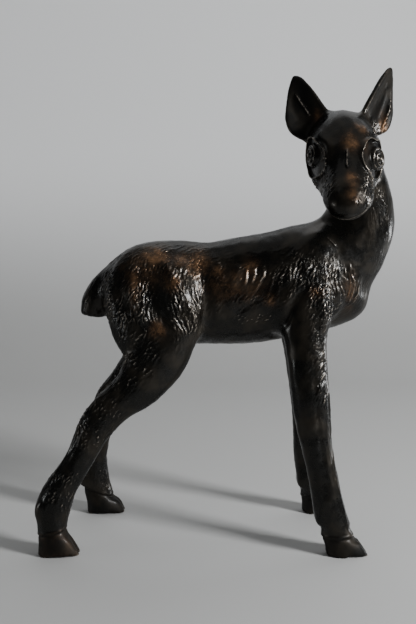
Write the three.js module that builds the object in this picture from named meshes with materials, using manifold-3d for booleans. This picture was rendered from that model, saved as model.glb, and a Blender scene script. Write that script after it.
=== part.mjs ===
// A cast fawn, one solid: it stands on four splayed legs, faces +X and turns its head towards -Y.
// Millimetres, +Z up, soles on z = 0. The near side is -Y, the side that the head looks to.
//
// The figure is a field of overlapping limbs. Each limb is a smooth spine with egg-shaped sections,
// and each melts into the rest over its own blend radius. The field's zero surface is meshed on a
// grid, thinned to its share of triangles, and cut flat at the soles.
import * as THREE from "three";
import Module from "manifold-3d";
import { mergeVertices } from "three/addons/utils/BufferGeometryUtils.js";

// Driving dimensions.
const standingHeight = 462; // soles to the tip of the higher ear
const stanceWidth = 121; // between the middles of the near and far hooves
const hoofLength = 42; // heel to toe at the sole
const hoofWidth = 29;
const hoofHeight = 23; // sole to coronet, at the back feet
const cleftWidth = 4.2; // the groove between a hoof's two toes
const cleftDepth = 5;
const earLength = 60;
const earWidth = 42;
const earThickness = 6;
const earCup = 9; // how far the edges stand in front of the middle
const tailLength = 54;
const eyeDiameter = 24;
const muzzleWidth = 46;

// How finely the surface is drawn.
const gridStep = 2.5;
const triangleTarget = 9500;
const eveningRounds = 6;
const spineSteps = 5; // spline samples between two stations

// The pose is written for a figure this tall, and grows or shrinks with standingHeight.
const posedHeight = 462;
const grow = standingHeight / posedHeight;
const halfStance = stanceWidth / 2;

const bronze = new THREE.MeshStandardMaterial({
  color: new THREE.Color(0.045, 0.032, 0.024),
  roughness: 0.34,
  metalness: 0.85,
});

// A station is [x, y, z, half width, half depth, egg]. Egg widens the section towards its front.
// The width runs along side, and the depth along spine x side.
function limb(stations, { side = [0, 1, 0], endSide = side, blend = 10, carve = false } = {}) {
  const middles = stations.map(([x, y, z]) => new THREE.Vector3(x, y, z));
  const sections = stations.map(([, , , wide, deep, egg = 0]) => new THREE.Vector3(wide, deep, egg));
  const spine = new THREE.CatmullRomCurve3(middles);
  const profile = new THREE.CatmullRomCurve3(sections, false, "catmullrom", 0.5);
  const count = (stations.length - 1) * spineSteps;
  const samples = [];
  for (let i = 0; i <= count; i++) {
    const t = i / count;
    const section = profile.getPoint(t);
    const across = new THREE.Vector3(...side).lerp(new THREE.Vector3(...endSide), t);
    samples.push({ at: spine.getPoint(t), across, wide: section.x, deep: section.y, egg: section.z });
  }
  const segments = [];
  const bounds = new THREE.Box3();
  for (let i = 0; i < count; i++) {
    const [from, to] = [samples[i], samples[i + 1]];
    const run = to.at.clone().sub(from.at);
    const along = run.clone().normalize();
    const across = from.across.clone().add(to.across);
    across.addScaledVector(along, -across.dot(along)).normalize();
    const front = along.clone().cross(across);
    segments.push({ from, to, run, along, across, front, length2: run.lengthSq() });
    for (const s of [from, to]) {
      const room = new THREE.Vector3().setScalar(2.4 * Math.max(s.wide, s.deep));
      bounds.union(new THREE.Box3().setFromCenterAndSize(s.at, room));
    }
  }
  return { outside: (x, y, z) => outsideOf(segments, x, y, z), bounds, blend, carve };
}

// A single egg-shaped lump: a limb as short as it can be.
function lump([x, y, z], [wide, deep, long], along, side, options) {
  const reach = Math.max(0.01, long - (wide + deep) / 2);
  const step = new THREE.Vector3(...along).normalize().multiplyScalar(reach);
  const ends = [-1, 1].map((s) => [x + s * step.x, y + s * step.y, z + s * step.z, wide, deep]);
  return limb(ends, { ...options, side });
}

// How far a point lies outside a limb, measured along the ray from its spine.
function outsideOf(segments, x, y, z) {
  let nearest = Infinity;
  for (let i = 0; i < segments.length; i++) {
    const { from, to, run, along, across, front, length2 } = segments[i];
    const dx = x - from.at.x;
    const dy = y - from.at.y;
    const dz = z - from.at.z;
    const t = Math.min(1, Math.max(0, (dx * run.x + dy * run.y + dz * run.z) / length2));
    const px = dx - t * run.x;
    const py = dy - t * run.y;
    const pz = dz - t * run.z;
    const u = px * across.x + py * across.y + pz * across.z;
    const v = px * front.x + py * front.y + pz * front.z;
    const w = px * along.x + py * along.y + pz * along.z;
    const deep = from.deep + t * (to.deep - from.deep);
    const egg = from.egg + t * (to.egg - from.egg);
    const wide = (from.wide + t * (to.wide - from.wide)) * (1 + egg * Math.max(-1, Math.min(1, v / deep)));
    const cap = (wide + deep) / 2;
    const share = Math.sqrt((u * u) / (wide * wide) + (v * v) / (deep * deep) + (w * w) / (cap * cap));
    const reach = Math.sqrt(u * u + v * v + w * w);
    const gap = share > 1e-6 ? reach * (1 - 1 / share) : -Math.min(wide, deep);
    if (gap < nearest) nearest = gap;
  }
  return nearest;
}

// The field: negative inside. Limbs join in order, and a carving limb is taken away.
// It ends a little below the soles, where the figure is cut flat later.
function fieldOf(limbs, lowest) {
  const point = new THREE.Vector3();
  return (x, y, z) => {
    let value = 60;
    point.set(x, y, z);
    for (const { outside, bounds, blend, carve } of limbs) {
      const away = bounds.distanceToPoint(point);
      if (away > blend && (carve || away > value + blend)) continue;
      const gap = outside(x, y, z);
      const other = carve ? -gap : gap;
      const mix = Math.max(blend - Math.abs(value - other), 0) / blend;
      const round = (mix * mix * blend) / 4;
      value = carve ? Math.max(value, other) + round : Math.min(value, other) - round;
    }
    return Math.max(value, lowest - z);
  };
}

// Sculpting frame of the figure: its pose in millimetres at posedHeight.
const pose = (stations) =>
  stations.map(([x, y, z, wide, deep, ...egg]) => [...[x, y, z, wide, deep].map((s) => s * grow), ...egg]);

// Legs spread with the stance: a station's y is its share of the way out to the hoof's middle.
const posedHalfStance = 60.5 * grow;
const spread = (stations, sign) =>
  pose(stations).map(([x, y, ...rest]) => [x, (sign * y * halfStance) / posedHalfStance, ...rest]);

// Torso, from rump to breast.
const torso = limb(
  pose([
    [-89, 0, 245, 30, 33, -0.05],
    [-70, 0, 245, 41, 47, -0.1],
    [-40, 0, 244, 43.5, 51, -0.1],
    [-10, 0, 242.5, 42.5, 50, -0.08],
    [25, 0, 245.5, 42, 53, -0.08],
    [60, 0, 251, 41.5, 53, -0.1],
    [90, 0, 258, 40, 53, -0.12],
    [112, 0, 256, 34, 44, -0.08],
    [114, 0, 250, 28, 31, 0],
  ]),
  { blend: 12 },
);

// Neck, from between the shoulders up to the back of the skull. Its width turns from Y to X.
const neck = limb(
  pose([
    [94, 0, 258, 35, 37],
    [119, 0, 278, 35, 38.5],
    [132.5, 0, 303, 32, 35],
    [138, -3, 326, 29, 31],
    [134.5, -8, 349, 27, 27.5],
    [126, -14, 369, 26, 26],
    [118, -20, 383, 24, 24],
  ]),
  { side: [0, 1, 0], endSide: [0.5, 0.8, 0], blend: 16 },
);

// Breastbone, which stands forward under the throat.
const breast = limb(
  pose([
    [110, 0, 231, 20, 18],
    [123, 0, 237, 21, 19.5],
    [127, 0, 248, 20, 16],
  ]),
  { blend: 10 },
);

// Head, from the poll to the muzzle. It looks to -Y and a little down.
const muzzleShare = muzzleWidth / 46;
const head = limb(
  pose([
    [116, -7, 390, 24, 24],
    [116, -20, 384, 32, 34],
    [115.5, -36, 370, 33.5, 32, -0.05],
    [115.5, -50, 357, 26.5, 26.5, -0.1],
    [115, -63, 346.5, 22.5 * muzzleShare, 22, -0.1],
    [113.5, -75, 337, 20.5 * muzzleShare, 18.5, -0.05],
    [112.5, -84, 329.5, 17.5 * muzzleShare, 15, 0.05],
  ]),
  { side: [1, 0, 0], blend: 11 },
);

// The face's own directions: ahead along the muzzle, up through the forehead, and across.
const ahead = new THREE.Vector3(-2, -78, -60).normalize();
const sideways = new THREE.Vector3(1, 0, 0).addScaledVector(ahead, -ahead.x).normalize();
const crown = ahead.clone().cross(sideways);
const faceOrigin = new THREE.Vector3(115.5, -36, 367.5);
function onFace(across, forward, up) {
  const p = faceOrigin.clone().addScaledVector(sideways, across).addScaledVector(ahead, forward);
  return p.addScaledVector(crown, up).multiplyScalar(grow).toArray();
}

// Long almond sockets, with the eyeballs bulging out of them.
const eyeRadius = eyeDiameter / 2;
const slant = ahead.clone().multiplyScalar(0.86).addScaledVector(crown, -0.5);
const sockets = [-1, 1].map((s) => {
  const out = sideways.clone().multiplyScalar(0.86 * s);
  out.addScaledVector(crown, 0.44).addScaledVector(ahead, 0.26);
  const room = [eyeRadius * 0.55, eyeRadius * 1.32, eyeRadius * 1.8];
  return lump(onFace(s * 29.5, 16, 7), room, slant.toArray(), out.toArray(), { blend: 4, carve: true });
});
const eyes = [-1, 1].map((s) =>
  lump(onFace(s * 22, 9, 3.5), [eyeRadius, eyeRadius, eyeRadius], slant.toArray(), [1, 0, 0], { blend: 2 }),
);
const brows = [-1, 1].map((s) =>
  limb(
    [
      [...onFace(s * 21, -16, 15), 9, 8],
      [...onFace(s * 19, -4, 21), 8, 6],
      [...onFace(s * 14, 12, 19), 8, 6],
    ],
    { side: sideways.toArray(), blend: 8 },
  ),
);
const cheeks = [-1, 1].map((s) =>
  limb(
    [
      [...onFace(s * 14, -8, -13), 10.5, 11],
      [...onFace(s * 13.5, 14, -11), 10, 10.5],
      [...onFace(s * 11, 32, -7), 8.5, 8],
    ],
    { side: sideways.toArray(), blend: 10 },
  ),
);
const chin = limb(
  [
    [...onFace(0, 24, -12), 11, 8],
    [...onFace(0, 44, -11), 10, 7],
  ],
  { side: sideways.toArray(), blend: 6 },
);

// One ear: a leaf bent into a trough that opens towards facing, with its deepest line from base
// to tip. Outward is +1 or -1, whichever turns facing x rise away from the head.
function ear(base, tip, facing, outward) {
  const root = new THREE.Vector3(...base).multiplyScalar(grow);
  const rise = new THREE.Vector3(...tip).sub(new THREE.Vector3(...base)).normalize();
  const front = new THREE.Vector3(...facing);
  front.addScaledVector(rise, -front.dot(rise)).normalize();
  const across = front.clone().cross(rise).multiplyScalar(outward);
  // Share of the length, then how far the edge stands out towards the head and away from it.
  const edges = [
    [-0.24, 0.1, 0.22],
    [-0.12, 0.24, 0.42],
    [0, 0.34, 0.55],
    [0.1, 0.36, 0.61],
    [0.22, 0.35, 0.61],
    [0.38, 0.32, 0.56],
    [0.56, 0.28, 0.46],
    [0.74, 0.22, 0.33],
    [0.88, 0.16, 0.2],
    [0.97, 0.07, 0.09],
    [1.03, -0.04, -0.04],
  ].map(([a, inner, outer]) => new THREE.Vector3(a * earLength, inner * earWidth, outer * earWidth));
  const edgeAt = (a) => {
    let i = 1;
    while (i < edges.length - 1 && edges[i].x < a) i++;
    const [from, to] = [edges[i - 1], edges[i]];
    const t = Math.min(1, Math.max(0, (a - from.x) / (to.x - from.x)));
    return [from.y + t * (to.y - from.y), from.z + t * (to.z - from.z)];
  };
  const outside = (x, y, z) => {
    const [dx, dy, dz] = [x - root.x, y - root.y, z - root.z];
    const a = dx * rise.x + dy * rise.y + dz * rise.z;
    const u = dx * across.x + dy * across.y + dz * across.z;
    const bend = dx * front.x + dy * front.y + dz * front.z - earCup * (2 * u / earWidth) ** 2;
    const v = bend / Math.hypot(1, (8 * earCup * u) / earWidth ** 2);
    const [inner, outer] = edgeAt(a);
    const round = earThickness / 2;
    const beyond = 0.85 * Math.max(a - edges[edges.length - 1].x, edges[0].x - a, u - outer, -u - inner);
    return Math.hypot(Math.max(0, beyond + round), v) - round;
  };
  const bounds = new THREE.Box3().setFromPoints([root, root.clone().addScaledVector(rise, earLength)]);
  bounds.expandByScalar(earWidth * 0.65);
  return { outside, bounds, blend: 7, carve: false };
}

// Back legs: haunch, thigh, hock, cannon, fetlock and pastern.
const nearHind = limb(
  spread(
    [
      [-63, 20, 262, 19, 33],
      [-65, 30, 238, 20, 42],
      [-62, 35, 214, 19, 41],
      [-57, 39, 196, 17, 32.5],
      [-65, 42, 176, 15.5, 27.5],
      [-77, 45, 158, 14, 22],
      [-96, 47, 143, 13, 18],
      [-113, 49, 126, 12.5, 17],
      [-124, 51, 108, 12, 15],
      [-130, 52.5, 95, 11.5, 13.6],
      [-137, 54, 82, 11.8, 13.2],
      [-149, 56.5, 65, 12.5, 14.5],
      [-156, 58, 49, 13.5, 16.5],
      [-158.5, 59.5, 36, 13, 15.5],
      [-158, 60.5, 22, 12, 12.8],
    ],
    -1,
  ),
  { blend: 14 },
);
const farHind = limb(
  spread(
    [
      [-63, 20, 262, 19, 33],
      [-65, 30, 238, 20, 42],
      [-65, 35, 214, 19, 41],
      [-62, 39, 196, 17, 29],
      [-72, 43, 177, 15.5, 26],
      [-86, 45.5, 159, 14, 20],
      [-102, 48, 141, 13, 17],
      [-115, 50, 125, 12.5, 16],
      [-124, 52, 104, 12, 14.3],
      [-130.5, 54, 80, 11.5, 13.8],
      [-134, 56, 60, 12, 14],
      [-134.5, 57.5, 44, 13, 16],
      [-132, 59, 30, 12.8, 15],
      [-129.5, 60.5, 20, 12, 13.2],
    ],
    1,
  ),
  { blend: 14 },
);

// Front legs: shoulder, forearm, knee, cannon, fetlock and pastern.
const nearFore = limb(
  spread(
    [
      [84, 22, 272, 16, 27],
      [80, 30, 248, 17, 30],
      [79, 35, 225, 17, 25],
      [81, 39, 205, 16, 20.5],
      [83, 43, 181, 15, 18.8],
      [85.5, 46.5, 152, 14.5, 18.2],
      [88.5, 49.5, 121, 13.5, 16.3],
      [92, 52, 99, 12.5, 14.2],
      [97, 54, 77, 12.3, 13.9],
      [102, 57, 50, 12.8, 14.6],
      [106.5, 59, 32, 13, 15],
      [112, 60.5, 17, 12.5, 14.2],
    ],
    -1,
  ),
  { blend: 14 },
);
const farFore = limb(
  spread(
    [
      [84, 22, 272, 16, 27],
      [80, 30, 248, 17, 30],
      [80, 35, 225, 17, 25],
      [83, 39, 205, 16, 20.5],
      [87, 43, 180, 15, 18.6],
      [90.5, 46.5, 152, 14.5, 17.6],
      [93, 49.5, 118, 13.5, 15.6],
      [93.5, 52, 96, 12.5, 14.2],
      [94, 54, 74, 12.3, 13.9],
      [98, 57, 46, 12.8, 14.6],
      [101.5, 59, 31, 13, 15],
      [104.5, 60.5, 18, 12.5, 14],
    ],
    1,
  ),
  { blend: 14 },
);

// One hoof. It flares from the coronet to the sole and is split at the toe.
// It runs on below z = 0, where the figure is cut flat.
const belowSole = 8;
function hoof(coronet, sole, sign, height) {
  const y = sign * halfStance;
  const [half, wide] = [hoofLength / 2, hoofWidth / 2];
  const slope = (sole - coronet) / height;
  const low = sole + slope * belowSole;
  const shell = limb(
    [
      [coronet * grow, y, height, wide * 0.86, half * 0.64],
      [(coronet * 0.45 + sole * 0.55) * grow, y, height * 0.45, wide * 0.96, half * 0.84, -0.08],
      [sole * grow, y, 0, wide, half, -0.16],
      [low * grow, y, -belowSole, wide, half, -0.16],
    ],
    { blend: 4 },
  );
  const toe = sole * grow + half;
  const cleft = limb(
    [
      [toe - half * 0.62, y, height * 0.98, cleftWidth / 2, cleftDepth * 0.6],
      [toe - half * 0.22, y, height * 0.45, cleftWidth / 2, cleftDepth],
      [toe, y, 0, cleftWidth / 2, cleftDepth],
      [toe + 3, y, -belowSole, cleftWidth / 2, cleftDepth],
    ],
    { blend: 2, carve: true },
  );
  const frogWidth = cleftWidth * 0.7;
  const heel = sole * grow - half;
  const frog = limb(
    [
      [heel + 1, y, height * 0.55, frogWidth / 2, 3],
      [heel - 1, y, -belowSole, frogWidth / 2, 3],
    ],
    { blend: 2, carve: true },
  );
  return [shell, cleft, frog, coronetGroove(coronet * grow, y, height, slope)];
}

// The groove where the hair ends above the hoof: a ring that dips towards the toe.
const coronetWidth = 5;
const coronetDip = 0.3;
function coronetGroove(x, y, z, slope) {
  const [half, wide] = [(hoofLength / 2) * 0.84, (hoofWidth / 2) * 1.03];
  const outside = (px, py, pz) => {
    const [dx, dy] = [px - x, py - y];
    const share = Math.hypot(dx / half, dy / wide);
    const aside = ((share - 1) * Math.hypot(dx, dy)) / Math.max(share, 1e-6);
    return Math.hypot(aside, pz - z + coronetDip * (dx - slope * half)) - coronetWidth / 2;
  };
  const bounds = new THREE.Box3().setFromCenterAndSize(
    new THREE.Vector3(x, y, z),
    new THREE.Vector3(2 * half + coronetWidth, 2 * wide + coronetWidth, half + coronetWidth),
  );
  return { outside, bounds, blend: 2, carve: true };
}

// Dewclaws: the two small knobs behind each fetlock.
function dewclaws(x, z, sign) {
  return [-1, 1].map((s) => {
    const y = sign * halfStance * 0.96 + s * 6.5 * grow;
    return lump([x * grow, y, z * grow], [3, 3, 4.5], [0.3, 0, 1], [0, 1, 0], { blend: 6 });
  });
}

// Tail: short, broad and pressed to the rump. Its lower end is cut off nearly level.
const tailShare = tailLength / 54;
const tailTop = [-99, 0, 267];
const tailBrush = limb(
  pose(
    [
      [0, 0, 0, 8, 7],
      [-10, 0, -10.5, 12, 11],
      [-19.5, 0, -21, 14, 11.5],
      [-25, 0, -34, 14, 12.5],
      [-26, 0, -44, 13, 12],
    ].map(([x, y, z, ...section]) => [tailTop[0] + x, y, tailTop[2] + z * tailShare, ...section]),
  ),
  { blend: 4 },
);
const tailEnd = (tailTop[2] - 0.86 * tailLength) * grow;
const endSlope = 0.16;
const tail = {
  ...tailBrush,
  outside: (x, y, z) => {
    const below = tailEnd - endSlope * (x - (tailTop[0] - 28) * grow) - z;
    return Math.max(tailBrush.outside(x, y, z), below);
  },
};

// A stretch of muscle: three stations, of which the middle one is the fullest.
const muscle = (stations, blend) => limb(pose(stations), { blend });

// The muscles that stand out from a step away: shoulder blade, upper arm with its elbow, front of
// the thigh, and the round of the buttock.
const muscles = [-1, 1].flatMap((s) => {
  const blade = [96, s * 24, 292, 9, 13];
  const shoulder = [92, s * 31, 268, 10, 17];
  const armTop = [98, s * 34, 242, 11, 17];
  const point = [100, s * 35, 238, 10, 13];
  const upperArm = [88, s * 38, 222, 11, 15];
  const elbow = [74, s * 38, 212, 9, 12];
  const hip = [-42, s * 35, 262, 8, 14];
  const thigh = [-32, s * 38, 236, 10, 15];
  const stifle = [-34, s * 39, 210, 10, 14];
  const rump = [-84, s * 24, 260, 9, 15];
  const buttock = [-89, s * 28, 238, 12, 16];
  const fold = [-82, s * 33, 217, 11, 13];
  return [
    muscle([blade, shoulder, armTop], 10),
    muscle([point, upperArm, elbow], 8),
    muscle([hip, thigh, stifle], 10),
    muscle([rump, buttock, fold], 10),
  ];
});

const body = [torso, breast, neck, nearHind, farHind, nearFore, farFore, ...muscles];

// A groove that follows the skin and runs out at both ends. Each start is a point inside and the
// way out from it.
function crease(field, starts, width, deepest) {
  const stations = starts.map(([inside, outward], i) => {
    const depth = i % (starts.length - 1) === 0 ? 0 : deepest;
    let [within, beyond] = [0, 90 * grow];
    const p = new THREE.Vector3();
    while (beyond - within > 0.1) {
      const middle = (within + beyond) / 2;
      p.copy(inside).addScaledVector(outward, middle);
      if (field(p.x, p.y, p.z) < 0) within = middle;
      else beyond = middle;
    }
    p.copy(inside).addScaledVector(outward, within + width / 2 - depth);
    return [...p.toArray(), width / 2, width / 2];
  });
  return limb(stations, { blend: 2.5, carve: true });
}

// Creases in the flank: behind the elbow, up into the armpit, and in front of the thigh.
const bodyField = fieldOf(body, -Infinity);
const armpit = [[80, 256], [71, 245], [62, 227], [56, 212], [53, 198]];
const flankFold = [[-11, 247], [-13, 230], [-17, 214], [-22, 201]];
const creases = [-1, 1].flatMap((s) =>
  [armpit, flankFold].map((route) => {
    const out = new THREE.Vector3(0, s, 0);
    const starts = route.map(([x, z]) => [new THREE.Vector3(x * grow, 0, z * grow), out]);
    return crease(bodyField, starts, 7, 2.2);
  }),
);

// The mouth: a groove round the muzzle, which fans out from a point inside the lips.
const face = [head, ...cheeks, ...brows, chin];
const lipStart = (forward, up, turn) => [
  new THREE.Vector3(...onFace(0, forward, up)),
  ahead.clone().multiplyScalar(Math.cos(turn)).addScaledVector(sideways, Math.sin(turn)),
];
const mouthSide = (s) => [[34, -4], [45, -6]].map(([f, up]) => lipStart(f, up, (s * Math.PI) / 2));
const mouthFan = [-3, -2, -1, 0, 1, 2, 3].map((i) => lipStart(57, -8, (i * Math.PI) / 6));
const lips = [...mouthSide(-1), ...mouthFan, ...mouthSide(1).reverse()];
const mouth = crease(fieldOf(face, -Infinity), lips, 5, 1.5);

const limbs = [
  ...body,
  tail,
  ...creases,
  ...face,
  ...sockets,
  ...eyes,
  mouth,
  ear([95.5, -12, 403], [73, 8, 454], [-0.42, -0.9, 0.05], 1),
  ear([138.5, -12, 410.2], [169, 4, 466.2], [0.866, -0.5, 0.05], -1),
  ...hoof(-157.5, -151.5, -1, hoofHeight),
  ...hoof(-129, -121.5, 1, hoofHeight * 0.92),
  ...hoof(112.5, 121, -1, hoofHeight * 0.78),
  ...hoof(104.5, 111.5, 1, hoofHeight * 0.82),
  ...dewclaws(-170, 44, -1),
  ...dewclaws(-147, 38, 1),
  ...dewclaws(94, 36, -1),
  ...dewclaws(89, 35, 1),
];

// Marching tetrahedra: each cube of the grid is six tetrahedra round its long diagonal, so the
// surface that comes out is always closed.
const cubeTetrahedra = [
  [0, 5, 1, 7],
  [0, 1, 3, 7],
  [0, 3, 2, 7],
  [0, 2, 6, 7],
  [0, 6, 4, 7],
  [0, 4, 5, 7],
];
function surfaceOf(field, box, step) {
  const size = box.getSize(new THREE.Vector3());
  const [nx, ny, nz] = size.toArray().map((s) => Math.ceil(s / step) + 1);
  const stride = [1, nx, nx * ny];
  const values = new Float32Array(nx * ny * nz);
  const place = (node) => {
    const k = Math.floor(node / stride[2]);
    const j = Math.floor((node - k * stride[2]) / nx);
    return [box.min.x + (node - k * stride[2] - j * nx) * step, box.min.y + j * step, box.min.z + k * step];
  };
  // Blocks of the grid that lie far from the surface take one value from their middle.
  const block = 6;
  const far = block * step * 1.1;
  for (let k = 0; k < nz; k += block)
    for (let j = 0; j < ny; j += block)
      for (let i = 0; i < nx; i += block) {
        const half = ((block - 1) * step) / 2;
        const [x, y, z] = [box.min.x + i * step, box.min.y + j * step, box.min.z + k * step];
        const centre = field(x + half, y + half, z + half);
        const known = Math.abs(centre) > far;
        for (let c = k; c < Math.min(nz, k + block); c++)
          for (let b = j; b < Math.min(ny, j + block); b++)
            for (let a = i; a < Math.min(nx, i + block); a++)
              values[a + b * stride[1] + c * stride[2]] = known
                ? centre
                : field(box.min.x + a * step, box.min.y + b * step, box.min.z + c * step);
      }

  // Corner c of a cube is its low node plus one step in x, y and z for bits 1, 2 and 4.
  const corner = [...Array(8).keys()].map((c) => new THREE.Vector3(c & 1, (c >> 1) & 1, c >> 2));
  const offset = corner.map((c) => c.x * stride[0] + c.y * stride[1] + c.z * stride[2]);
  const middle = (a, b) => corner[a].clone().add(corner[b]).multiplyScalar(0.5);
  const positions = [];
  const triangles = [];
  const known = new Map();
  const crossing = (cube, a, b) => {
    const [low, high] = a < b ? [a, b] : [b, a];
    const key = (cube + offset[low]) * 8 + (high - low);
    if (!known.has(key)) {
      const [p, q] = [place(cube + offset[low]), place(cube + offset[high])];
      const [fp, fq] = [values[cube + offset[low]], values[cube + offset[high]]];
      const t = Math.min(0.95, Math.max(0.05, fp / (fp - fq)));
      known.set(key, positions.length / 3);
      positions.push(...p.map((v, i) => v + t * (q[i] - v)));
    }
    return known.get(key);
  };
  const face = (cube, edges, outward) => {
    const [p, q, r] = edges.map(([a, b]) => middle(a, b));
    const turned = q.clone().sub(p).cross(r.clone().sub(p)).dot(outward) < 0;
    const [i, j, k] = edges.map(([a, b]) => crossing(cube, a, b));
    triangles.push(i, ...(turned ? [k, j] : [j, k]));
  };
  for (let k = 0; k < nz - 1; k++)
    for (let j = 0; j < ny - 1; j++)
      for (let i = 0; i < nx - 1; i++) {
        const cube = i + j * stride[1] + k * stride[2];
        let inside = 0;
        for (const o of offset) if (values[cube + o] < 0) inside++;
        if (inside === 0 || inside === 8) continue;
        for (const tetrahedron of cubeTetrahedra) {
          const solid = tetrahedron.filter((c) => values[cube + offset[c]] < 0);
          const empty = tetrahedron.filter((c) => values[cube + offset[c]] >= 0);
          if (!solid.length || !empty.length) continue;
          const outward = new THREE.Vector3();
          for (const c of empty) outward.addScaledVector(corner[c], 1 / empty.length);
          for (const c of solid) outward.addScaledVector(corner[c], -1 / solid.length);
          if (solid.length === 2) {
            const [[a, b], [c, d]] = [solid, empty];
            face(cube, [[a, c], [b, c], [b, d]], outward);
            face(cube, [[a, c], [b, d], [a, d]], outward);
          } else {
            const lone = solid.length === 1;
            const edges = lone ? empty.map((c) => [solid[0], c]) : solid.map((c) => [c, empty[0]]);
            face(cube, edges, outward);
          }
        }
      }
  return { positions: Float64Array.from(positions), triangles: Uint32Array.from(triangles) };
}

// Evens out the steps that the grid leaves on thin rims. Each round moves every vertex towards the
// middle of its neighbours and then back out, so that the form doesn't shrink.
function evened({ positions, triangles }, rounds) {
  const sums = new Float64Array(positions.length);
  const counts = new Uint32Array(positions.length / 3);
  for (let round = 0; round < rounds; round++)
    for (const pull of [0.5, -0.52]) {
      sums.fill(0);
      counts.fill(0);
      for (let c = 0; c < triangles.length; c++) {
        const [a, b] = [triangles[c], triangles[c % 3 === 2 ? c - 2 : c + 1]];
        counts[a]++;
        for (let k = 0; k < 3; k++) sums[3 * a + k] += positions[3 * b + k];
      }
      for (let v = 0; v < counts.length; v++)
        for (let k = 3 * v; k < 3 * v + 3; k++) positions[k] += pull * (sums[k] / counts[v] - positions[k]);
    }
  return { positions, triangles };
}

// The normal of a triangle with corners p, q and r, as long as twice its area.
function normalOf(p, q, r) {
  const [ux, uy, uz] = [q[0] - p[0], q[1] - p[1], q[2] - p[2]];
  const [vx, vy, vz] = [r[0] - p[0], r[1] - p[1], r[2] - p[2]];
  return [uy * vz - uz * vy, uz * vx - ux * vz, ux * vy - uy * vx];
}

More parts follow.
